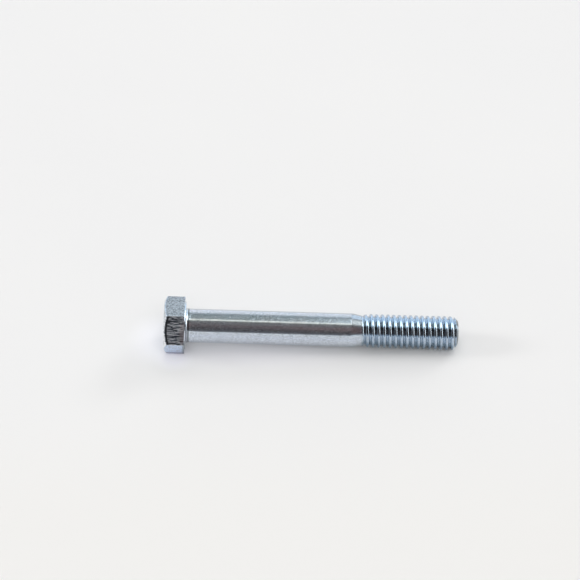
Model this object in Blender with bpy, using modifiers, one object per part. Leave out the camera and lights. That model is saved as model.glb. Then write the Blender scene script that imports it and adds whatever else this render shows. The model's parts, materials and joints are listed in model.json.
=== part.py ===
"""Hex bolt, 3/8-16 UNC x 3 in, partly threaded and zinc plated, forged as one piece.

The origin is the centre of the head's top face. +X runs along the axis to the tip, and +Z is square to a
wrench flat. Run it with blender --background --python part.py, or from Blender's text editor.
"""

import math

import bmesh
import bpy

MM = 0.001
INCH = 25.4 * MM

# Fastener size
LENGTH = 76.0 * MM  # bearing face to tip: 3 in, less part of its tolerance
PITCH = INCH / 16
MAJOR_RADIUS = 9.44 * MM / 2
SHANK_RADIUS = 9.46 * MM / 2

# Head
HEAD_HEIGHT = 6.1 * MM
ACROSS_FLATS = 14.25 * MM
CORNER_ROUNDING = 0.25 * MM
TOP_FACE_RADIUS = 6.7 * MM
TOP_CHAMFER = math.radians(30)
WASHER_FACE_RADIUS = 6.7 * MM
WASHER_FACE_HEIGHT = 0.35 * MM
FILLET_RADIUS = 0.5 * MM

# Thread: a 60 degree form with a flat crest and a flat root
FLANK_ANGLE = math.radians(30)
CREST_WIDTH = PITCH / 8
THREAD_DEPTH = 0.61343 * PITCH
THREAD_PHASE = 0.74  # where on a turn the crest starts, as a share of the pitch

# Places along the axis, measured back from the tip
NECK_FROM_TIP = 29.5 * MM
NECK_CONE_LENGTH = 2.5 * MM
THREAD_FROM_TIP = 27.0 * MM
RUNOUT_LENGTH = 0.6 * PITCH
POINT_RADIUS = 3.6 * MM
POINT_CHAMFER = math.radians(45)

SEGMENTS = 40
FILLET_STEPS = 3
CORNER_STEPS = 2
WELD = 0.001 * MM

BEARING = HEAD_HEIGHT
TIP = HEAD_HEIGHT + LENGTH
NECK_START = TIP - NECK_FROM_TIP
THREAD_START = TIP - THREAD_FROM_TIP
ROOT_RADIUS = MAJOR_RADIUS - THREAD_DEPTH
PITCH_RADIUS = MAJOR_RADIUS - 0.32476 * PITCH
BLANK_RADIUS = ACROSS_FLATS / math.sqrt(3) + 0.6 * MM  # clear of the hexagon's corners


def clear_scene():
    for obj in list(bpy.data.objects):
        bpy.data.objects.remove(obj)


def new_collection(name):
    collection = bpy.data.collections.new(name)
    bpy.context.scene.collection.children.link(collection)
    return collection


def zinc_plate():
    """Bright zinc with a clear blue passivation."""
    material = bpy.data.materials.new("zinc_plate")
    material.use_nodes = True
    shader = material.node_tree.nodes["Principled BSDF"]
    shader.inputs["Base Color"].default_value = (0.6, 0.66, 0.71, 1)
    shader.inputs["Metallic"].default_value = 1.0
    shader.inputs["Roughness"].default_value = 0.28
    return material


def arc(centre, radius, start, end, steps):
    """Points on an arc about centre, both ends included, with the angles in degrees."""
    angles = [math.radians(start + (end - start) * i / steps) for i in range(steps + 1)]
    return [(centre[0] + radius * math.cos(a), centre[1] + radius * math.sin(a)) for a in angles]


def swept(profile, turns=1, lead=0.0):
    """The mesh of a profile of (radius, height) points, swept round Z by a Screw modifier."""
    mesh = bpy.data.meshes.new("profile")
    points = [(radius, 0, height) for radius, height in profile]
    edges = [(i, i + 1) for i in range(len(points) - 1)]
    mesh.from_pydata(points, edges, [])
    obj = bpy.data.objects.new("profile", mesh)
    bpy.context.scene.collection.objects.link(obj)
    screw = obj.modifiers.new("screw", "SCREW")
    screw.steps = screw.render_steps = SEGMENTS
    screw.iterations = turns
    screw.screw_offset = lead
    screw.use_merge_vertices = lead == 0
    screw.merge_threshold = WELD
    graph = bpy.context.evaluated_depsgraph_get()
    made = bpy.data.meshes.new_from_object(obj.evaluated_get(graph))
    bpy.data.objects.remove(obj)
    return made


def blank_profile():
    """The turned side of the blank as (radius, height), from the thread's start down to the head's top."""
    chamfer_height = (BLANK_RADIUS - TOP_FACE_RADIUS) * math.tan(TOP_CHAMFER)
    shoulder = BEARING - WASHER_FACE_HEIGHT
    fillet_centre = (SHANK_RADIUS + FILLET_RADIUS, BEARING + FILLET_RADIUS)
    return [
        (PITCH_RADIUS, THREAD_START),
        (PITCH_RADIUS, NECK_START + NECK_CONE_LENGTH),
        (SHANK_RADIUS, NECK_START),
        *arc(fillet_centre, FILLET_RADIUS, 180, 270, FILLET_STEPS),
        (WASHER_FACE_RADIUS, BEARING),
        (WASHER_FACE_RADIUS, shoulder),
        (BLANK_RADIUS, shoulder),
        (BLANK_RADIUS, chamfer_height),
        (TOP_FACE_RADIUS, 0),
        (0, 0),
    ]


def thread_profile(start):
    """One pitch of the thread as (radius, height), from the next crest down to the crest at start."""
    flank_width = THREAD_DEPTH * math.tan(FLANK_ANGLE)
    root_width = PITCH - CREST_WIDTH - 2 * flank_width
    steps = (
        (MAJOR_RADIUS, 0),
        (MAJOR_RADIUS, CREST_WIDTH),
        (ROOT_RADIUS, flank_width),
        (ROOT_RADIUS, root_width),
        (MAJOR_RADIUS, flank_width),
    )
    height, points = start, []
    for radius, rise in steps:
        height += rise
        points.append((radius, height))
    return points[::-1]


def thread_radius(radius, height):
    """The radius after the run-out, where crest and root meet at the pitch radius, and the point's chamfer."""
    depth = min(1.0, (height - THREAD_START) / RUNOUT_LENGTH)
    point = POINT_RADIUS + (TIP - height) / math.tan(POINT_CHAMFER)
    return min(PITCH_RADIUS + (radius - PITCH_RADIUS) * depth, point)


def thread_surface():
    """The rolled thread, open at both ends. Turns past either end close up onto the ring there."""
    turns = math.ceil((TIP - THREAD_START) / PITCH) + 2
    start = THREAD_START - (1 + THREAD_PHASE) * PITCH
    mesh = swept(thread_profile(start), turns, PITCH)
    for vertex in mesh.vertices:
        height = min(max(vertex.co.z, THREAD_START), TIP)
        swept_radius = math.hypot(vertex.co.x, vertex.co.y)
        scale = thread_radius(swept_radius, height) / swept_radius
        vertex.co = (vertex.co.x * scale, vertex.co.y * scale, height)
    return mesh


def forged_blank(collection, material):
    """Round head, shank, neck and thread as one closed body, lying along X."""
    body = bmesh.new()
    for mesh in (swept(blank_profile()), thread_surface()):
        body.from_mesh(mesh)
        bpy.data.meshes.remove(mesh)
    bmesh.ops.remove_doubles(body, verts=body.verts, dist=WELD)
    bmesh.ops.holes_fill(body, edges=[edge for edge in body.edges if edge.is_boundary], sides=0)
    bmesh.ops.recalc_face_normals(body, faces=body.faces)
    mesh = bpy.data.meshes.new("hex_bolt")
    body.to_mesh(mesh)
    body.free()
    mesh.materials.append(material)
    mesh.shade_smooth()
    mesh.set_sharp_from_angle(angle=math.radians(30))
    obj = bpy.data.objects.new("hex_bolt", mesh)
    obj.rotation_euler = (0, math.pi / 2, 0)
    collection.objects.link(obj)
    return obj


def hexagon():
    """The head's outline across the axis, with a flat square to X and an arc at each corner."""
    points = []
    arc_centre = (ACROSS_FLATS / 2 - CORNER_ROUNDING) / math.cos(math.pi / 6)
    for corner in range(6):
        middle = 30 + 60 * corner
        centre = (
            arc_centre * math.cos(math.radians(middle)),
            arc_centre * math.sin(math.radians(middle)),
        )
        points += arc(centre, CORNER_ROUNDING, middle - 30, middle + 30, CORNER_STEPS)
    return points


def trimming_die(collection):
    """Cutter: a thick hexagonal tube, with the head's outline as its hole."""
    outline = hexagon()
    low, high = -1 * MM, BEARING + 1 * MM
    die = bmesh.new()
    lower = [die.verts.new((x, y, low)) for x, y in outline]
    ring = [die.edges.new((lower[i - 1], lower[i])) for i in range(len(lower))]
    walls = bmesh.ops.extrude_edge_only(die, edges=ring)["geom"]
    upper = [item for item in walls if isinstance(item, bmesh.types.BMVert)]
    bmesh.ops.translate(die, verts=upper, vec=(0, 0, high - low))
    bmesh.ops.recalc_face_normals(die, faces=die.faces)
    mesh = bpy.data.meshes.new("trimming_die")
    die.to_mesh(mesh)
    die.free()
    obj = bpy.data.objects.new("trimming_die", mesh)
    obj.rotation_euler = (0, math.pi / 2, 0)
    obj.hide_render = True
    obj.display_type = "WIRE"
    wall = obj.modifiers.new("wall", "SOLIDIFY")
    wall.thickness = 2 * (BLANK_RADIUS - ACROSS_FLATS / 2)
    wall.offset = 1
    collection.objects.link(obj)
    return obj


def main():
    clear_scene()
    bolt = forged_blank(new_collection("hex_bolt"), zinc_plate())
    trim = bolt.modifiers.new("trim_to_hexagon", "BOOLEAN")
    trim.operation = "DIFFERENCE"
    trim.object = trimming_die(new_collection("cutters"))


main()
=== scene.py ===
import json
import math

import bpy
import numpy as np
from mathutils import Matrix, Vector


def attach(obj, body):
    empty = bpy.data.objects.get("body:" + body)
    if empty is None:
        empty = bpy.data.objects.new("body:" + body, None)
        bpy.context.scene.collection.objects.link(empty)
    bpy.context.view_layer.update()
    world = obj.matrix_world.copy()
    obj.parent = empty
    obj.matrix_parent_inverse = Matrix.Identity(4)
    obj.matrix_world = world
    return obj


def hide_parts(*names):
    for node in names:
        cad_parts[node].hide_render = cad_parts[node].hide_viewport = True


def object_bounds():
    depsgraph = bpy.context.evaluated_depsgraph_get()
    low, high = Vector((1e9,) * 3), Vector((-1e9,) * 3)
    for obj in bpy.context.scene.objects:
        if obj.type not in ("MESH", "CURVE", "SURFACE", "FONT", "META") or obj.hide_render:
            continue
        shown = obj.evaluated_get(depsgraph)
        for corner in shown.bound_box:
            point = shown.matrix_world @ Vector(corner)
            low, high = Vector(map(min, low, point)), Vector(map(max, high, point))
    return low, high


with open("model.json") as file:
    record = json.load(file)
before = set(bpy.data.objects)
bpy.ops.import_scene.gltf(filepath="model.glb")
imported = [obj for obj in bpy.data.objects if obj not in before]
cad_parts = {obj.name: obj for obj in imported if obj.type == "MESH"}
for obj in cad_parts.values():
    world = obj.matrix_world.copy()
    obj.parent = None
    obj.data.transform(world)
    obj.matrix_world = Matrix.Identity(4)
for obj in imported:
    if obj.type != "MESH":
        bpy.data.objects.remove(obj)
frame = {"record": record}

# The look of a zinc-plated hex bolt, 3/8-16 x 3 in, lying on a pale floor. The bolt is one forged piece, so
# it is one mesh here. Lengths are in millimetres until a point reaches Blender, and an angle round the axis
# is measured from -Y toward +Z.

MM = 0.001
INCH = 25.4
NODE = "hex_bolt"

CAD_BOX = [[float(value) for value in corner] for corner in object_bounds()]
MOUNTS = {mount["name"]: mount for mount in frame["record"]["mounts"]}

# Places along the axis and the head's size, from the frame
TIP = CAD_BOX[1][0] / MM
BEARING = MOUNTS["bearing_face"]["pos_m"][0] / MM
ACROSS_FLATS = 2 * CAD_BOX[1][2] / MM

# Fastener size
PITCH = INCH / 16
MAJOR_RADIUS = 9.44 / 2
SHANK_RADIUS = 9.46 / 2
PITCH_RADIUS = MAJOR_RADIUS - 0.32476 * PITCH
FLANK_TILT = math.radians(60)
CREST_FLAT = 0.16
CREST_ROUNDING = 0.30
ROOT_ROUNDING = 0.16
CREST_AT = TIP - 25.30  # a crest's middle, on the side that faces -Y

# Head
CORNER_ROUNDING = 0.25
TOP_FACE_RADIUS = 6.7
TOP_CHAMFER = math.radians(30)
WASHER_FACE_RADIUS = 6.7
SHOULDER = BEARING - 0.35
FILLET_RADIUS = 0.5
FILLET_EDGE = SHANK_RADIUS + FILLET_RADIUS + 0.12  # where the bearing face's even rings end

# Places measured back from the tip
NECK_START = TIP - 29.5
NECK_END = NECK_START + 2.5
THREAD_START = TIP - 27.0
GROOVE_RUNOUT = 0.45 * PITCH
CREST_RUNOUT = 1.6 * PITCH
POINT_RADIUS = 3.6
RIM_ROUNDING = 0.05

# Marks on the wrench flats
LINE_HEIGHT = 0.008
TORN_HEIGHT = 0.030
FLAT_INSET = 0.018  # keeps the marks inside the width across the flats
RAGGED_HEIGHT = 0.035
BURR_HEIGHT = 0.5
BURR_PLACE = 1.4
BURR_REACH = 1.1

# How far from an edge its rounding starts
TOP_EDGE = 0.14
CHAMFER_EDGE = 0.16
SHOULDER_EDGE = 0.09
WASHER_EDGE = 0.06
NECK_EDGE = 0.12
POINT_EDGE = 0.12

# How finely the mesh is cut
TOP_MIDDLE = 0.7  # radius of the top face's inmost ring
FLAT_ROWS = 26
SHANK_ROWS = 34
NECK_ROWS = 18
FLAT_STEPS = 74
ARC_STEPS = 8
HEAD_COLUMNS = 6 * (FLAT_STEPS + 2 * ARC_STEPS)
SHANK_COLUMNS = HEAD_COLUMNS // 3

# Resting place: the floor touches the head's lower edge and the last full crest
SLOPE = 0.0323

# Camera
LENS = 124.1
SENSOR = 36.0
CAMERA_DISTANCE = 559.3
CAMERA_ELEVATION = math.radians(42.1)
CAMERA_TURN = math.radians(-3.06)
CAMERA_ROLL = math.radians(3.79)
AIM_ALONG = 35.20
AIM_ABOVE = 10.74

# Studio
SKY_SEEN = (0.887, 0.887, 0.893)  # by the camera
SKY_SHED = (0.520, 0.520, 0.535)  # on the floor
NARROW_LIGHT = (1.25, 1.22, 1.08)
TALL_LIGHT = (2.8, 3.1, 3.3)
TALL_LIGHT_LEFT = (2.6, 2.9, 3.1)
FAR_GLOW = (0.98, 1.16, 1.36)
FAR_SKY = (1.05, 1.25, 1.45)
TIP_LIGHT = (2.9, 3.0, 3.1)  # past the tip, square to its end
HEAD_LIGHT = (1.1, 1.15, 1.2)  # past the head, square to its top
LIGHT_DISTANCE = 1.6  # metres
FLOOR_HALF = 3.0  # metres
FADE_START, FADE_END = 350.0, 800.0  # where the floor turns into the sky


# ------------------------------------------------------------------ shape helpers


def eased(low, high, value):
    """0 below low and 1 above high, with a smooth step between them."""
    share = np.clip((value - low) / (high - low), 0, 1)
    return share * share * (3 - 2 * share)


def soft_min(first, second, width):
    """The lower of two values, with the corner where they cross rounded over about width."""
    gap = np.abs(first - second)
    return np.minimum(first, second) - np.maximum(width - gap, 0) ** 2 / (4 * width)


def soft_max(first, second, width):
    return -soft_min(-first, -second, width)


def waves(across, along, wavelengths, seed, weave):
    """Irregular waves of about unit height that run lengthways and wander from side to side."""
    random = np.random.default_rng(seed)
    total = np.zeros(np.broadcast(across, along).shape)
    for wavelength in wavelengths:
        start, drift, bend = random.uniform(0, 2 * math.pi, 3)
        wander = weave * np.sin(along / (3 + bend) * 2 * math.pi + drift)
        total = total + np.sin(2 * math.pi * across / wavelength + start + wander)
    return total / math.sqrt(len(wavelengths))


def point_on(x, radius, angle):
    """Points at a place along the axis, a radius and an angle round it."""
    x, radius, angle = np.broadcast_arrays(x, radius, angle)
    return np.stack([x, -radius * np.cos(angle), radius * np.sin(angle)], axis=-1)


def even_angles(count):
    return np.arange(count) * 2 * math.pi / count


def towards(start, end, distance):
    """The points a distance from start on the way to end."""
    way = end - start
    return start + way / np.linalg.norm(way, axis=-1, keepdims=True) * distance


def rounded(before, corner, after, trim, steps):
    """Rows that round a corner off, from trim before it to trim after it."""
    start = towards(corner, before, trim)
    end = towards(corner, after, trim)
    rows = []
    for share in np.linspace(0, 1, steps + 1):
        rows.append((1 - share) ** 2 * start + 2 * share * (1 - share) * corner + share**2 * end)
    return rows


def between(start, end, count):
    """Evenly spaced rows between two rows, which are left out."""
    return [start + (end - start) * share for share in np.linspace(0, 1, count + 2)[1:-1]]


class Shell:
    """Gathers vertices and faces of one closed surface, ring by ring."""

    def __init__(self):
        self.points = []
        self.faces = []
        self.count = 0

    def add(self, points):
        """Adds a ring of vertices and returns their numbers."""
        points = np.asarray(points).reshape(-1, 3)
        self.points.append(points)
        self.count += len(points)
        return np.arange(self.count - len(points), self.count)

    def join(self, ring, following):
        """Quads between two rings of the same length."""
        quads = [ring, following, np.roll(following, -1), np.roll(ring, -1)]
        self.faces += np.stack(quads, axis=1).tolist()

    def join_thirds(self, ring, following):
        """Faces between a ring and one with a third of its vertices."""
        for i in range(len(following)):
            outer = [ring[(3 * i + step) % len(ring)] for step in (3, 2, 1, 0)]
            inner = [following[i], following[(i + 1) % len(following)]]
            self.faces.append([int(number) for number in outer + inner])

    def cap(self, ring, centre, reverse):
        """Triangles from a ring to a point at its middle."""
        middle = int(self.add(centre)[0])
        for a, b in zip(ring.tolist(), np.roll(ring, -1).tolist()):
            self.faces.append([middle, a, b] if reverse else [middle, b, a])

    def mesh(self, name):
        mesh = bpy.data.meshes.new(name)
        points = np.concatenate(self.points)
        used = np.unique(np.concatenate([np.asarray(face) for face in self.faces]))
        number = np.zeros(len(points), dtype=int)
        number[used] = np.arange(len(used))
        faces = [number[face].tolist() for face in self.faces]
        mesh.from_pydata((points[used] * MM).tolist(), [], faces)
        mesh.validate()
        return mesh


# ------------------------------------------------------------------ head


def hexagon():
    """The head's outline: each point's angle, radius, place along its flat, and its flat's direction."""
    inner = ACROSS_FLATS / 2 - CORNER_ROUNDING
    edge = inner * math.tan(math.pi / 6)
    arc = np.linspace(0, math.pi / 6, ARC_STEPS + 1)[1:]
    half = FLAT_STEPS // 2 + 1
    out = np.concatenate([np.full(half, ACROSS_FLATS / 2), inner + CORNER_ROUNDING * np.cos(arc)])
    side = np.concatenate([np.linspace(0, edge, half), edge + CORNER_ROUNDING * np.sin(arc)])
    out = np.concatenate([out[::-1], out[1:-1]])
    side = np.concatenate([-side[::-1], side[1:-1]])
    local = np.arctan2(side, out)
    facing = math.radians(30) + np.arange(6)[:, None] * math.radians(60)
    angle = (facing + local).ravel()
    return angle, np.tile(np.hypot(out, side), 6), np.tile(side, 6), np.repeat(facing, len(out))


def flat_relief(x, side, facing):
    """How far each point of a wrench flat stands out: die lines along it, and tears near the shoulder."""
    relief = np.zeros(np.broadcast(x, side).shape)
    for flat in range(6):
        here = np.isclose(facing, math.radians(30 + 60 * flat))
        lines = waves(side, x, (0.36, 0.47, 0.63, 0.92), 10 + flat, 0.9)
        coarse = waves(side, x, (1.9, 3.1), 20 + flat, 0.6)
        torn = waves(side, x, (0.31, 0.43, 0.71), 30 + flat, 3.0)
        torn = torn * waves(x, side, (0.5, 0.83), 40 + flat, 2.0)
        reach = x + 0.35 * waves(side, 0 * x, (1.3, 2.2), 50 + flat, 1)
        tear = eased(SHOULDER - 1.9, SHOULDER - 0.5, reach)
        marks = LINE_HEIGHT * (lines + coarse) + TORN_HEIGHT * tear * torn
        relief = np.where(here, marks, relief)
    ends = eased(1.0, 1.7, x) * (1 - eased(SHOULDER - 0.2, SHOULDER, x))
    corner = 1 - eased(3.6, 4.1, np.abs(side))
    return (relief - FLAT_INSET) * ends * corner


def ragged_edge(x, side, facing):
    """How far the edge beside the shoulder is pushed along the axis, with a burr on the front flat."""
    near = eased(SHOULDER - 0.7, SHOULDER, x)
    ragged = RAGGED_HEIGHT * waves(side, 0 * x, (0.45, 0.8, 1.3), 61, 1)
    front = np.isclose(facing, math.radians(30))
    burr = BURR_HEIGHT * np.exp(-(((side - BURR_PLACE) / BURR_REACH) ** 2)) * front
    return near * (ragged + burr)


def head_rows():
    """Rows of points from the middle of the top face to the bearing face. The last row is evenly spaced."""
    angle, outline, side, facing = hexagon()

    def row(x, radius):
        return np.stack(np.broadcast_arrays(x, radius, outline)[:2], axis=-1).astype(float)

    middle = row(0, TOP_MIDDLE)
    top_rim = row(0, TOP_FACE_RADIUS)
    chamfer_end = row((outline - TOP_FACE_RADIUS) * math.tan(TOP_CHAMFER), outline)
    shoulder_rim = row(SHOULDER, outline)
    washer_foot = row(SHOULDER, WASHER_FACE_RADIUS)
    washer_rim = row(BEARING, WASHER_FACE_RADIUS)
    fillet_edge = row(BEARING, FILLET_EDGE)

    top_round = rounded(middle, top_rim, chamfer_end, TOP_EDGE, 3)
    chamfer_round = rounded(top_rim, chamfer_end, shoulder_rim, CHAMFER_EDGE, 4)
    shoulder_round = rounded(chamfer_end, shoulder_rim, washer_foot, SHOULDER_EDGE, 3)
    rows = [middle, *between(middle, top_rim, 4), *top_round]
    rows += [*between(top_round[-1], chamfer_round[0], 3), *chamfer_round]
    rows += [*between(chamfer_round[-1], shoulder_round[0], FLAT_ROWS), *shoulder_round]
    rows += [towards(shoulder_round[-1], washer_foot, 0.2), washer_foot]
    rows += rounded(washer_foot, washer_rim, fillet_edge, WASHER_EDGE, 3)
    rows = np.array(rows)
    x, radius = rows[..., 0], rows[..., 1]
    ragged = ragged_edge(x, side, facing) * (radius > WASHER_FACE_RADIUS + 0.1)
    points = point_on(x + ragged, radius, angle)
    outward = point_on(0, flat_relief(x, side, facing), facing)
    points = points + outward * (radius > TOP_FACE_RADIUS + 0.3)[..., None]

    even = even_angles(HEAD_COLUMNS)
    relaxed = []
    last_radius = radius[-1, 0]
    for share in (0.34, 0.67, 1.0):
        ring_radius = last_radius + (FILLET_EDGE - last_radius) * share
        relaxed.append(point_on(BEARING, ring_radius, angle + (even - angle) * share))
    return [*points, *relaxed]


# ------------------------------------------------------------------ shank, neck and thread


def shank_profile():
    """Places along the axis and radii, from the bearing face to the thread's start."""
    places = []
    for share in np.linspace(0, 1, 6):
        turn = share * math.pi / 2
        rise = FILLET_RADIUS * (1 - math.cos(turn))
        places.append((BEARING + rise, SHANK_RADIUS + FILLET_RADIUS * (1 - math.sin(turn))))
    start = places[-1][0]
    places += [(x, SHANK_RADIUS) for x in np.linspace(start, NECK_START - 0.6, SHANK_ROWS)[1:]]
    places.append((NECK_START - 0.3, SHANK_RADIUS))
    cone = np.linspace(NECK_START - 0.2, THREAD_START, NECK_ROWS)
    slope = (SHANK_RADIUS - PITCH_RADIUS) / (NECK_END - NECK_START)
    radii = soft_min(np.full(NECK_ROWS, SHANK_RADIUS), SHANK_RADIUS - (cone - NECK_START) * slope, NECK_EDGE)
    radii = soft_max(radii, np.full(NECK_ROWS, PITCH_RADIUS), 0.1)
    radii[-1] = PITCH_RADIUS
    return places + list(zip(cone, radii))


def thread_profile():
    """One pitch of the rolled thread from a crest's middle, as shares of the pitch and radii: a flat crest
    with round shoulders, flanks at 60 degrees to the axis and a round root."""
    edge = CREST_FLAT / 2
    depth = (PITCH / 2 - edge) * math.tan(FLANK_TILT) - CREST_ROUNDING - ROOT_ROUNDING
    half = [(0, MAJOR_RADIUS)]
    for turn in (0, FLANK_TILT / 3, FLANK_TILT * 2 / 3, FLANK_TILT):
        drop = CREST_ROUNDING * (1 - math.cos(turn))
        half.append((edge + CREST_ROUNDING * math.sin(turn), MAJOR_RADIUS - drop))
    root = []
    for turn in (FLANK_TILT, FLANK_TILT / 2, 0):
        lift = ROOT_ROUNDING * (1 - math.cos(turn))
        root.append((PITCH / 2 - ROOT_ROUNDING * math.sin(turn), MAJOR_RADIUS - depth + lift))
    upper, lower = half[-1], root[0]
    for share in (0.15, 0.85):
        half.append((upper[0] + (lower[0] - upper[0]) * share, upper[1] + (lower[1] - upper[1]) * share))
    half += root
    shares = [away / PITCH for away, _ in half] + [1 - away / PITCH for away, _ in half[-2:0:-1]]
    radii = [radius for _, radius in half] + [radius for _, radius in half[-2:0:-1]]
    return np.array(shares), np.array(radii)


def thread_radius(x, full):
    """Radius on the thread, after its run-out and the point's chamfer."""
    groove = eased(THREAD_START, THREAD_START + GROOVE_RUNOUT, x)
    crest = eased(THREAD_START - 0.3 * CREST_RUNOUT, THREAD_START + CREST_RUNOUT, x)
    depth = np.where(full < PITCH_RADIUS, groove, crest)
    radius = PITCH_RADIUS + (full - PITCH_RADIUS) * np.where(x > THREAD_START, depth, 0)
    point = POINT_RADIUS + TIP - x
    return np.where(x > TIP - 1.6, soft_min(radius, point, POINT_EDGE), radius)


def add_thread(shell, first_ring, last_x):
    """A grid that follows the helix. Turns past either end close up onto the ring there."""
    shares, radii = thread_profile()
    per_turn = len(shares)
    turns = range(-3, math.ceil((last_x - CREST_AT) / PITCH) + 2)
    travel = np.concatenate([turn + shares for turn in turns])
    full = np.tile(radii, len(turns))
    angle = even_angles(SHANK_COLUMNS)
    x = CREST_AT + PITCH * (travel[:, None] - angle / (2 * math.pi))
    radius = thread_radius(np.clip(x, THREAD_START, last_x), full[:, None])
    numbers = shell.add(point_on(x, radius, angle)).reshape(x.shape)
    last_ring = shell.add(point_on(last_x, POINT_RADIUS + TIP - last_x, angle))
    numbers = np.where(x <= THREAD_START, first_ring, np.where(x >= last_x, last_ring, numbers))
    seam = np.concatenate([np.full(per_turn, first_ring[0]), numbers[:-per_turn, 0]])
    numbers = np.column_stack([numbers, seam])
    corners = [numbers[:-1, :-1], numbers[1:, :-1], numbers[1:, 1:], numbers[:-1, 1:]]
    for quad in np.stack(corners, axis=-1).reshape(-1, 4).tolist():
        face = list(dict.fromkeys(quad))
        if len(face) > 2:
            shell.faces.append(face)
    return last_ring


def add_end(shell, ring):
    """The flat end: a rounded rim, a face that dips a little, and its middle."""
    angle = even_angles(SHANK_COLUMNS)
    places = [
        (TIP - RIM_ROUNDING * 0.3, POINT_RADIUS + RIM_ROUNDING * 0.25),
        (TIP, POINT_RADIUS - RIM_ROUNDING),
        (TIP, POINT_RADIUS - 0.5),
        (TIP - 0.03, POINT_RADIUS - 0.8),
        (TIP - 0.12, POINT_RADIUS - 1.4),
        (TIP - 0.14, 1.2),
        (TIP - 0.14, 0.5),
    ]
    for x, radius in places:
        following = shell.add(point_on(x, radius, angle))
        shell.join(ring, following)
        ring = following
    shell.cap(ring, (places[-1][0], 0, 0), reverse=False)


def bolt_mesh():
    shell = Shell()
    rows = head_rows()
    ring = shell.add(rows[0])
    shell.cap(ring, (0, 0, 0), reverse=True)
    for row in rows[1:]:
        following = shell.add(row)
        shell.join(ring, following)
        ring = following
    angle = even_angles(SHANK_COLUMNS)
    profile = shank_profile()
    following = shell.add(point_on(*profile[0], angle))
    shell.join_thirds(ring, following)
    ring = following
    for x, radius in profile[1:]:
        following = shell.add(point_on(x, radius, angle))
        shell.join(ring, following)
        ring = following
    add_end(shell, add_thread(shell, ring, TIP - RIM_ROUNDING))
    return shell.mesh("bolt")


# ------------------------------------------------------------------ node helpers


class Nodes:
    """Adds nodes to a tree. A socket or a plain value can be an input."""

    def __init__(self, tree):
        self.tree = tree
        tree.nodes.clear()

    def set(self, node, inputs):
        for name, value in inputs.items():
            if isinstance(value, bpy.types.NodeSocket):
                self.tree.links.new(value, node.inputs[name])
            else:
                node.inputs[name].default_value = value
        return node

    def add(self, kind, inputs=None, **settings):
        node = self.tree.nodes.new(kind)
        for name, value in settings.items():
            setattr(node, name, value)
        return self.set(node, inputs or {})

    def math(self, operation, first, second=0.0, third=0.0):
        values = {0: first, 1: second, 2: third}
        return self.add("ShaderNodeMath", values, operation=operation).outputs[0]

    def product(self, first, *others):
        for other in others:
            first = self.math("MULTIPLY", first, other)
        return first

    def stretched(self, vector, scale):
        return self.add("ShaderNodeVectorMath", {0: vector, 1: scale}, operation="MULTIPLY").outputs[0]

    def noise(self, vector, scale, detail=2.0, roughness=0.5):
        inputs = {"Vector": vector, "Scale": scale, "Detail": detail, "Roughness": roughness}
        return self.add("ShaderNodeTexNoise", inputs).outputs["Fac"]

    def between(self, value, low, high):
        """0 at low and 1 at high, with a smooth step between them. Low may be the larger."""
        inputs = {"Value": value, "From Min": low, "From Max": high}
        return self.add("ShaderNodeMapRange", inputs, interpolation_type="SMOOTHSTEP").outputs["Result"]

    def inside(self, value, rise, fall):
        """1 inside a range and 0 outside it. Rise and fall are its two smooth steps, each as in between."""
        return self.product(self.between(value, *rise), self.between(value, *fall))

    def scaled(self, value, low, high):
        """A value from 0 to 1 mapped to low to high."""
        inputs = {"Value": value, "To Min": low, "To Max": high}
        return self.add("ShaderNodeMapRange", inputs).outputs["Result"]

    def mix(self, share, first, second):
        node = self.add("ShaderNodeMix", data_type="RGBA")
        for index, value in ((0, share), (6, first), (7, second)):
            if isinstance(value, bpy.types.NodeSocket):
                self.tree.links.new(value, node.inputs[index])
            else:
                node.inputs[index].default_value = value if index == 0 else (*value, 1)
        return node.outputs[2]

    def painted(self, colour, layers):
        """A colour with layers over it, each a share and a colour."""
        for share, tint in layers:
            colour = self.mix(share, colour, tint)
        return colour

    def ramp(self, share, stops):
        node = self.add("ShaderNodeValToRGB", {"Fac": share})
        elements = node.color_ramp.elements
        elements.remove(elements[1])
        elements[0].position, elements[0].color = stops[0][0], (*stops[0][1], 1)
        for position, colour in stops[1:]:
            elements.new(position).color = (*colour, 1)
        return node.outputs["Color"]


# ------------------------------------------------------------------ materials


def plate_places(nodes, place, normal):
    """Where each tint of the plating, and each painted highlight, reflection and shade, lies, as shares from
    0 to 1.
    """
    parts = nodes.add("ShaderNodeSeparateXYZ", {0: place}).outputs
    x, z = parts["X"], parts["Z"]
    across = nodes.stretched(place, (0, 1, 1))
    radius = nodes.add("ShaderNodeVectorMath", {0: across}, operation="LENGTH").outputs["Value"]
    nearness = nodes.math("DIVIDE", nodes.product(parts["Y"], -1.0), radius)  # 1 on the side that faces -Y

    head = nodes.between(x, SHOULDER + 0.1, SHOULDER - 0.1)
    thread = nodes.between(x, THREAD_START - 0.4, THREAD_START + 0.6)
    at = {"x": x, "head": head, "thread": thread}
    at.update(thread_places(nodes, at, nearness, z, radius, normal))
    at.update(head_places(nodes, at, z, radius, normal))

    # Painted dark reflection: the neck's upward faces get a dark speckled colour, weaker on the far side.
    neck = nodes.between(x, NECK_START - 0.6, NECK_START - 0.3)
    neck = nodes.product(neck, nodes.between(thread, 0.6, 0.2), nodes.between(normal["Z"], 0.76, 0.86))
    at["neck"] = nodes.product(neck, nodes.scaled(nodes.between(nearness, 0.02, 0.10), 0.35, 1.0))
    # Painted reflection: faces that look sideways, neither up nor down, get a lighter blue that stands in
    # for the bright floor they mirror.
    at["low"] = nodes.inside(normal["Z"], (0.3, 0.1), (-0.45, -0.1))
    others = nodes.math("MAXIMUM", nodes.math("MAXIMUM", thread, head), at["neck"])
    shank = nodes.math("SUBTRACT", 1.0, others)
    at["grainy"] = nodes.product(shank, nodes.scaled(nodes.between(nearness, 0.60, 0.75), 0.24, 0.42))
    return at


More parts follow.
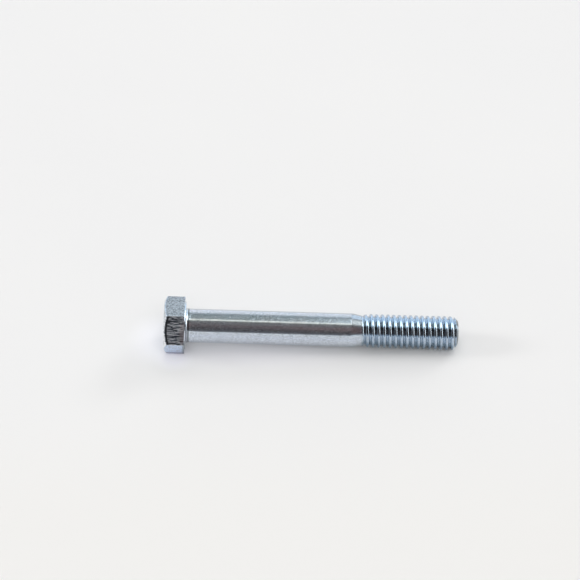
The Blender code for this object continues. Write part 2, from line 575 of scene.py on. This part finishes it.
def thread_places(nodes, at, nearness, z, radius, normal):
    """Where the thread gets painted light and shade: painted shade on its underside, its near side, its
    grooves and the flanks that face away from the tip, a painted highlight on the flanks toward the tip, and
    a painted dark reflection on the point.
    """
    upper = nodes.inside(nearness, (0.08, 0.20), (0.74, 0.62))
    # The near side, where the thread gets painted shade above its axis.
    side = nodes.inside(nearness, (0.62, 0.70), (0.90, 0.82))
    # Painted shade on the lower flanks that face away from the tip, and in the roots; its strength changes
    # round the axis.
    back = nodes.between(radius, PITCH_RADIUS + 0.4, PITCH_RADIUS + 0.2)
    back = nodes.product(nodes.between(normal["X"], 0.35, 0.0), back)
    groove = nodes.math("MAXIMUM", back, nodes.between(radius, PITCH_RADIUS + 0.05, PITCH_RADIUS - 0.15))
    # Painted dark reflection on the upper part of the point's chamfer.
    point = nodes.product(nodes.between(at["x"], TIP - 1.4, TIP - 1.0), nodes.between(normal["X"], 0.4, 0.6))
    return {
        # painted shade on the thread's downward faces
        "thread_under": nodes.product(nodes.between(normal["Z"], 0.12, -0.2), at["thread"]),
        "thread_side": nodes.product(side, nodes.between(z, 0.0, 0.3), at["thread"]),
        # painted highlight on the flanks that face the tip
        "tipward": nodes.product(at["thread"], nodes.between(normal["X"], 0.3, 0.6)),
        "groove": nodes.product(groove, at["thread"], nodes.scaled(upper, 0.12, 0.92)),
        "point": nodes.product(point, nodes.between(normal["Z"], -0.3, 0.0)),
    }


def head_places(nodes, at, z, radius, normal):
    """The head's chamfer, flats, edges and fillet, as places for painted highlights, reflections and shade
    and for the front flat's marks.
    """
    x, head = at["x"], at["head"]
    slope = math.tan(TOP_CHAMFER)
    past_chamfer = nodes.math("ADD", x, nodes.math("MULTIPLY_ADD", radius, -slope, TOP_FACE_RADIUS * slope))
    # Painted highlight: the top face and chamfer, which look away from the shank, get a lighter colour.
    chamfer = nodes.product(head, nodes.between(normal["X"], -0.5, -0.8))
    front = nodes.product(head, nodes.between(normal["Y"], -0.6, -0.8), nodes.between(normal["Z"], 0.0, 0.3))
    root = nodes.math("ABSOLUTE", nodes.math("SUBTRACT", x, BEARING + 0.7))
    # Painted shade on the lower half of the head's last band: the flats' end, the shoulder and the washer
    # face.
    rim = nodes.inside(x, (SHOULDER - 0.5, SHOULDER - 0.2), (BEARING + 0.1, BEARING - 0.1))
    # Painted shade in the fillet, all but its top.
    fillet = nodes.inside(x, (BEARING - 0.05, BEARING + 0.05), (BEARING + 0.6, BEARING + 0.5))
    # Painted shade: the head's near faces darken toward the bottom edge, standing in for the shadow under
    # the head that they mirror.
    lowest = nodes.product(head, nodes.between(normal["Y"], -0.5, -0.8), nodes.between(z, -5.6, -6.4))
    return {
        # painted reflection: light blue on the head's downward faces
        "head_under": nodes.product(nodes.between(normal["Z"], -0.1, -0.45), head),
        # painted reflection: the head's upward faces turned a flatter grey
        "head_upper": nodes.product(nodes.between(normal["Z"], 0.0, 0.4), head, 0.3),
        "chamfer": chamfer,
        # painted highlight: white on the chamfer's near side
        "near_chamfer": nodes.product(chamfer, nodes.between(normal["Y"], -0.2, -0.4)),
        "front": front,
        # painted shade: a dark line on the front flat just past its chamfer edge
        "front_edge": nodes.product(front, nodes.inside(past_chamfer, (0.85, 0.6), (0.1, 0.3))),
        # painted shade: a dark ring round the shank just past the fillet
        "shank_root": nodes.product(nodes.between(root, 0.32, 0.12), 0.85),
        "rim": nodes.product(rim, nodes.between(z, 1.0, 0.0), 0.7),
        "fillet": nodes.product(fillet, nodes.between(z, 3.9, 3.3), 0.6),
        "lowest": nodes.product(lowest, 0.7),
    }


def plate_textures(nodes, place):
    """The plating's mottle, grain, faint clouds, specks, the flats' score marks, and pits."""
    return {
        "mottle": nodes.noise(place, 2.1, 3.0, 0.6),
        "grain": nodes.noise(place, 6.0, 2.0, 0.6),
        "clouds": nodes.noise(place, 0.22, 2.0, 0.5),
        "speckle": nodes.noise(nodes.stretched(place, (0.8, 1, 1)), 3.0, 2.0, 0.6),
        "specks": nodes.noise(place, 3.9, 1.0, 0.5),
        "scores": nodes.noise(nodes.stretched(place, (0.14, 1, 1)), 3.8, 2.0, 0.6),
        "pits": nodes.between(nodes.noise(place, 1.5, 1.0, 0.5), 0.72, 0.78),
    }


def plate_tints(nodes, at, texture):
    """The plating's colour by place: blue zinc, with painted shade in the thread's grooves and a painted
    dark reflection on the neck, and painted highlights, reflections and shade by which way a face looks.
    """
    tones = [(0.35, (0.54, 0.61, 0.68)), (0.5, (0.57, 0.62, 0.69)), (0.65, (0.60, 0.63, 0.68))]
    # The neck's painted dark reflection, speckled between two dark greys.
    dull = nodes.mix(nodes.between(texture["speckle"], 0.42, 0.58), (0.24, 0.24, 0.23), (0.04, 0.04, 0.04))
    layers = [
        (nodes.between(texture["mottle"], 0.35, 0.7), (0.64, 0.69, 0.75)),
        # painted reflection: lighter blue on the sideways faces
        (at["low"], (0.74, 0.80, 0.90)),
        (nodes.product(at["thread"], 0.85), (0.475, 0.575, 0.69)),
        # painted shade on the thread's underside
        (at["thread_under"], (0.25, 0.35, 0.46)),
        # painted shade on the thread's near side above the axis
        (at["thread_side"], (0.25, 0.285, 0.32)),
        # painted highlight on the flanks that face the tip
        (at["tipward"], (0.66, 0.76, 0.85)),
        # painted shade in the grooves and on the flanks that face away from the tip
        (at["groove"], (0.05, 0.075, 0.09)),
        # painted dark reflection on the neck's upward faces
        (nodes.product(at["neck"], 0.92), dull),
        # painted dark reflection on the point
        (at["point"], (0.22, 0.25, 0.27)),
        # painted reflection: light blue on the head's downward faces
        (at["head_under"], (0.68, 0.82, 0.98)),
        # painted reflection: the head's upward faces turned a flatter grey
        (at["head_upper"], (0.64, 0.64, 0.64)),
        # painted highlight on the top face and chamfer
        (at["chamfer"], (0.68, 0.72, 0.78)),
        # painted highlight: white on the chamfer's near side
        (at["near_chamfer"], (1.0, 1.0, 1.0)),
    ]
    return nodes.painted(nodes.ramp(texture["clouds"], tones), layers)


def plate_marks(nodes, colour, at, texture):
    """The colour with specks, score marks on the front flat, a trace of rust, painted shade along edges,
    round the shank's root, in the fillet and at the head's lowest part, and pits.
    """
    speckle, specks, scores = texture["speckle"], texture["specks"], texture["scores"]
    dark_speckle = nodes.product(nodes.between(speckle, 0.45, 0.62), nodes.scaled(at["head"], 0.42, 0.8))
    light_scores = nodes.product(nodes.between(scores, 0.50, 0.38), nodes.product(at["front"], 0.95))
    light_scores = nodes.product(light_scores, nodes.scaled(nodes.between(at["x"], 1.0, 4.0), 0.5, 1.0))
    rust = nodes.product(at["front"], nodes.between(at["x"], 4.0, 5.0))
    rust = nodes.product(rust, nodes.between(texture["clouds"], 0.40, 0.55), 0.35)
    layers = [
        (dark_speckle, nodes.mix(at["head"], (0.36, 0.38, 0.38), (0.35, 0.385, 0.42))),
        (nodes.product(nodes.between(specks, 0.50, 0.58), at["grainy"]), (0.30, 0.33, 0.35)),
        (nodes.product(nodes.between(specks, 0.50, 0.42), at["grainy"]), (0.90, 0.96, 1.0)),
        (nodes.product(nodes.between(scores, 0.45, 0.56), at["front"], 0.95), (0.06, 0.07, 0.08)),
        (light_scores, (1.0, 1.0, 1.0)),
        (rust, (0.60, 0.46, 0.46)),
        # painted shade: a dark line on the front flat just past its chamfer edge
        (at["front_edge"], (0.07, 0.075, 0.08)),
        # painted shade: a dark ring round the shank just past the fillet
        (at["shank_root"], (0.18, 0.20, 0.20)),
        # painted shade on the lower half of the shoulder and washer face
        (at["rim"], (0.20, 0.22, 0.22)),
        # painted shade in the fillet
        (at["fillet"], (0.22, 0.22, 0.25)),
        # painted shade at the bottom of the head's near faces
        (at["lowest"], (0.24, 0.21, 0.27)),
        (nodes.product(texture["pits"], 0.75), (0.16, 0.15, 0.15)),
    ]
    return nodes.painted(colour, layers)


def summed(nodes, first, terms):
    """A value plus terms, each a share times a weight."""
    for share, weight in terms:
        first = nodes.math("MULTIPLY_ADD", share, weight, first)
    return first


def zinc_plate():
    """Bright zinc with a clear blue passivation: fine mottle, faint tints, pits and scored flats, with
    highlights, reflections and shade painted into its colour.
    """
    material = bpy.data.materials.new("zinc_plate")
    material.use_nodes = True
    nodes = Nodes(material.node_tree)
    coordinates = nodes.add("ShaderNodeTexCoord").outputs
    place = nodes.stretched(coordinates["Object"], (1 / MM, 1 / MM, 1 / MM))
    normal = nodes.add("ShaderNodeSeparateXYZ", {0: coordinates["Normal"]}).outputs
    at = plate_places(nodes, place, normal)
    texture = plate_textures(nodes, place)
    colour = plate_marks(nodes, plate_tints(nodes, at, texture), at, texture)

    rough = [(texture["pits"], 0.25), (at["head"], 0.08), (at["front"], 0.09), (at["thread"], -0.04)]
    rough.append((at["neck"], 0.1))
    roughness = summed(nodes, nodes.scaled(texture["mottle"], 0.09, 0.20), rough)
    raised = [(texture["grain"], 0.0016), (nodes.product(texture["scores"], at["head"]), 0.009)]
    raised.append((texture["pits"], -0.010))
    height = summed(nodes, nodes.product(texture["mottle"], 0.012), raised)
    bump = nodes.add("ShaderNodeBump", {"Height": height, "Strength": 1.0, "Distance": MM})

    shader = nodes.add(
        "ShaderNodeBsdfPrincipled",
        {"Base Color": colour, "Metallic": 1.0, "Roughness": roughness, "Normal": bump.outputs["Normal"]},
    )
    output = nodes.add("ShaderNodeOutputMaterial", {"Surface": shader.outputs["BSDF"]})
    output.is_active_output = True
    return material


def thrown_light(nodes, place, centre, reach, strength):
    """Light that the metal throws on the floor: a soft pool round a centre, with its reach along x and y."""
    scale = (1 / reach[0], 1 / reach[1], 0)
    offset = (-centre[0] / reach[0], -centre[1] / reach[1], 0)
    spot = nodes.add("ShaderNodeVectorMath", {0: place, 1: scale, 2: offset}, operation="MULTIPLY_ADD")
    away = nodes.add("ShaderNodeVectorMath", {0: spot.outputs[0]}, operation="LENGTH").outputs["Value"]
    return nodes.product(nodes.between(away, 1.6, 0.0), strength)


def floor_paper():
    """Matt pale paper with a faint unevenness, and soft pools of light that the bolt throws on it. The metal
    mirrors its near side a little darker than the camera sees it. Far off it fades into the sky's colour."""
    material = bpy.data.materials.new("floor_paper")
    material.use_nodes = True
    nodes = Nodes(material.node_tree)
    place = nodes.stretched(nodes.add("ShaderNodeTexCoord").outputs["Object"], (1 / MM, 1 / MM, 1 / MM))
    y = nodes.add("ShaderNodeSeparateXYZ", {0: place}).outputs["Y"]
    broad = nodes.noise(place, 0.009, 2.0, 0.5)
    fibres = nodes.noise(place, 1.5, 2.0, 0.6)
    colour = nodes.ramp(broad, [(0.3, (0.860, 0.859, 0.849)), (0.7, (0.874, 0.872, 0.858))])
    colour = nodes.mix(nodes.between(y, -15.0, -70.0), colour, (0.872, 0.865, 0.840))
    distance = nodes.add("ShaderNodeVectorMath", {0: place}, operation="LENGTH").outputs["Value"]
    faded = nodes.between(distance, FADE_START, FADE_END)
    colour = nodes.mix(faded, colour, (0.0, 0.0, 0.0))
    mirrored = nodes.add("ShaderNodeLightPath").outputs["Is Glossy Ray"]
    mirrored = nodes.product(mirrored, nodes.between(y, -8.0, -16.0))
    colour = nodes.mix(mirrored, colour, (0.78, 0.79, 0.81))
    bump = nodes.add("ShaderNodeBump", {"Height": fibres, "Strength": 0.12, "Distance": 0.02 * MM})
    inputs = {"Color": colour, "Roughness": 0.5, "Normal": bump.outputs["Normal"]}
    shader = nodes.add("ShaderNodeBsdfDiffuse", inputs)
    behind_head = thrown_light(nodes, place, (-3.0, 2.5), (6.0, 7.0), 0.08)
    before_head = thrown_light(nodes, place, (3.0, -6.0), (4.0, 4.0), 0.11)
    before_shank = thrown_light(nodes, place, (22.0, -4.5), (26.0, 5.0), 0.07)
    pools = nodes.math("ADD", nodes.math("ADD", behind_head, before_head), before_shank)
    glow = nodes.add("ShaderNodeEmission", {"Color": (0.98, 0.93, 1.24, 1), "Strength": pools})
    haze = nodes.add("ShaderNodeEmission", {"Color": (*SKY_SEEN, 1), "Strength": faded})
    total = nodes.add("ShaderNodeAddShader", {0: shader.outputs["BSDF"], 1: glow.outputs["Emission"]})
    total = nodes.add("ShaderNodeAddShader", {0: total.outputs["Shader"], 1: haze.outputs["Emission"]})
    nodes.add("ShaderNodeOutputMaterial", {"Surface": total.outputs["Shader"]})
    return material


# ------------------------------------------------------------------ studio


def sky_ramp(nodes, turn, stops):
    """Colours by degrees round the bolt's axis, with the near horizon at 0 and the far one at 180."""
    return nodes.ramp(turn, [(angle / 180, colour) for angle, colour in stops])


def middle_sky(nodes, turn):
    """Square to the axis: a dark near side, a narrow light just before the zenith, and a bright far side."""
    stops = [
        (0, (0.85, 0.86, 0.90)),
        (2, (0.75, 0.76, 0.80)),
        (5, (0.20, 0.20, 0.21)),
        (9, (0.115, 0.115, 0.125)),
        (28, (0.115, 0.11, 0.115)),
        (46, (0.165, 0.145, 0.15)),
        (66, (0.23, 0.22, 0.22)),
        (79.5, (0.25, 0.26, 0.245)),
        (82, NARROW_LIGHT),
        (88, NARROW_LIGHT),
        (91, (0.36, 0.39, 0.36)),
        (97, (0.34, 0.37, 0.36)),
        (125, (0.32, 0.36, 0.36)),
        (138, (0.50, 0.55, 0.58)),
        (149, (1.00, 1.04, 1.08)),
        (165, (1.02, 1.06, 1.14)),
        (180, (1.05, 1.08, 1.18)),
    ]
    return sky_ramp(nodes, turn, stops)


def slanting_sky(nodes, turn, near, start, light):
    """Toward an end of the bolt: near tones, then a tall light from an angle on, and a bright far side."""
    far = [(start, light), (116, light), (128, FAR_GLOW), (180, FAR_SKY)]
    return sky_ramp(nodes, turn, near + far)


def mirrored_sky(nodes, direction):
    """What the metal sees: the middle sky, with the slanting skies past each end of the bolt."""
    axes = nodes.add("ShaderNodeSeparateXYZ", {0: direction}).outputs
    along = axes["X"]
    nearness = nodes.product(axes["Y"], -1.0)
    turn = nodes.math("DIVIDE", nodes.math("ARCTAN2", axes["Z"], nearness), math.pi)
    neck_tones = [
        (0, (0.85, 0.90, 0.95)),
        (6, (0.75, 0.80, 0.85)),
        (12, (0.12, 0.12, 0.13)),
        (30, (0.18, 0.13, 0.13)),
        (60, (0.20, 0.15, 0.15)),
        (78, (0.22, 0.20, 0.20)),
    ]
    end_tones = [(0, (0.8, 0.9, 1.0)), (10, (0.6, 0.66, 0.72)), (16, (0.06, 0.06, 0.07))]
    end_dark = (0.07, 0.08, 0.09)
    neck = slanting_sky(nodes, turn, neck_tones, 88, TALL_LIGHT)
    right = slanting_sky(nodes, turn, [*end_tones, (78, end_dark)], 88, TALL_LIGHT)
    left = slanting_sky(nodes, turn, [*end_tones, (76, end_dark)], 86, TALL_LIGHT_LEFT)

    warm = nodes.inside(turn, (24 / 180, 44 / 180), (66 / 180, 52 / 180))
    above = nodes.between(axes["Z"], 0.0, 0.06)
    layers = [
        (nodes.product(warm, nodes.between(along, 0.03, 0.07)), (0.27, 0.20, 0.20)),
        (nodes.between(along, 0.098, 0.125), neck),
        (nodes.between(along, 0.44, 0.56), right),
        (nodes.between(along, -0.12, -0.24), left),
        (nodes.product(nodes.between(along, 0.78, 0.88), above), TIP_LIGHT),
        (nodes.product(nodes.between(along, -0.86, -0.94), above), HEAD_LIGHT),
    ]
    return nodes.painted(middle_sky(nodes, turn), layers)


def studio_world():
    """The metal mirrors a sky of bands. The camera and the floor each see one even tone."""
    world = bpy.data.worlds.new("studio")
    world.use_nodes = True
    nodes = Nodes(world.node_tree)
    bands = mirrored_sky(nodes, nodes.add("ShaderNodeTexCoord").outputs["Generated"])
    rays = nodes.add("ShaderNodeLightPath").outputs
    seen = nodes.mix(rays["Is Camera Ray"], SKY_SHED, SKY_SEEN)
    colour = nodes.mix(rays["Is Glossy Ray"], seen, bands)
    background = nodes.add("ShaderNodeBackground", {"Color": colour, "Strength": 1.0})
    nodes.add("ShaderNodeOutputWorld", {"Surface": background.outputs["Background"]})
    world.cycles.sampling_method = "NONE"
    bpy.context.scene.world = world


def soft_light(name, bearing, height, size, power):
    """A rectangular light, aimed at the bolt's middle, that the metal doesn't mirror. Its bearing is in
    degrees from +Y toward +X, its height in degrees above the floor, and its size in metres."""
    light = bpy.data.lights.new(name, "AREA")
    light.shape = "RECTANGLE"
    light.size, light.size_y = size
    light.energy = power
    obj = bpy.data.objects.new(name, light)
    bpy.context.scene.collection.objects.link(obj)
    bearing, height = math.radians(bearing), math.radians(height)
    level = math.cos(height)
    way = Vector((math.sin(bearing) * level, math.cos(bearing) * level, math.sin(height)))
    obj.location = Vector((TIP * MM / 2, 0, 0)) + way * LIGHT_DISTANCE
    obj.rotation_mode = "QUATERNION"
    obj.rotation_quaternion = way.to_track_quat("Z", "Y")
    obj.visible_glossy = False
    obj.visible_camera = False


def studio_lights():
    soft_light("window", 0, 15, (1.2, 0.35), 2.65)
    soft_light("back_ceiling", 0, 62, (1.2, 0.35), 1.9)
    soft_light("ceiling", 0, 90, (1.0, 1.0), 4.0)
    soft_light("front_ceiling", 180, 50, (1.2, 0.6), 4.5)
    soft_light("right_corner", 45, 30, (0.6, 0.4), 5.9)
    soft_light("left_side", -90, 22, (0.35, 0.35), 5.7)


def floor():
    """A wide floor that meets the head's lower edge and slopes up to the crest the tip end rests on."""
    mesh = bpy.data.meshes.new("floor")
    corners = []
    for across, along in ((-1, -1), (1, -1), (1, 1), (-1, 1)):
        x, y = across * FLOOR_HALF, along * FLOOR_HALF
        low = -ACROSS_FLATS / 2 * MM + SLOPE * (x - SHOULDER * MM)
        corners.append((x, y, low))
    mesh.from_pydata(corners, [], [(0, 1, 2, 3)])
    mesh.materials.append(floor_paper())
    obj = bpy.data.objects.new("floor", mesh)
    bpy.context.scene.collection.objects.link(obj)


def camera():
    """Looks down on the bolt from the -Y side."""
    turn, rise = CAMERA_TURN, CAMERA_ELEVATION
    right = Vector((math.cos(turn), math.sin(turn), 0))
    forward = Vector((-math.sin(turn) * math.cos(rise), math.cos(turn) * math.cos(rise), -math.sin(rise)))
    up = right.cross(forward)
    rolled_right = right * math.cos(CAMERA_ROLL) + up * math.sin(CAMERA_ROLL)
    rolled_up = up * math.cos(CAMERA_ROLL) - right * math.sin(CAMERA_ROLL)
    place = Vector((AIM_ALONG, 0, 0)) - forward * CAMERA_DISTANCE + rolled_up * AIM_ABOVE
    data = bpy.data.cameras.new("camera")
    data.lens = LENS
    data.sensor_width = SENSOR
    data.clip_start, data.clip_end = 0.01, 20
    obj = bpy.data.objects.new("camera", data)
    bpy.context.scene.collection.objects.link(obj)
    turned = Matrix((rolled_right, rolled_up, -forward)).transposed()
    obj.matrix_world = Matrix.Translation(place * MM) @ turned.to_4x4()
    bpy.context.scene.camera = obj


def bolt():
    mesh = bolt_mesh()
    mesh.shade_smooth()
    mesh.materials.append(zinc_plate())
    obj = bpy.data.objects.new("bolt", mesh)
    bpy.context.scene.collection.objects.link(obj)
    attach(obj, "root")
    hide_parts(NODE)
    return obj


bolt()
floor()
studio_world()
studio_lights()
camera()
bpy.context.scene.view_settings.view_transform = "Standard"
bpy.context.view_layer.update()
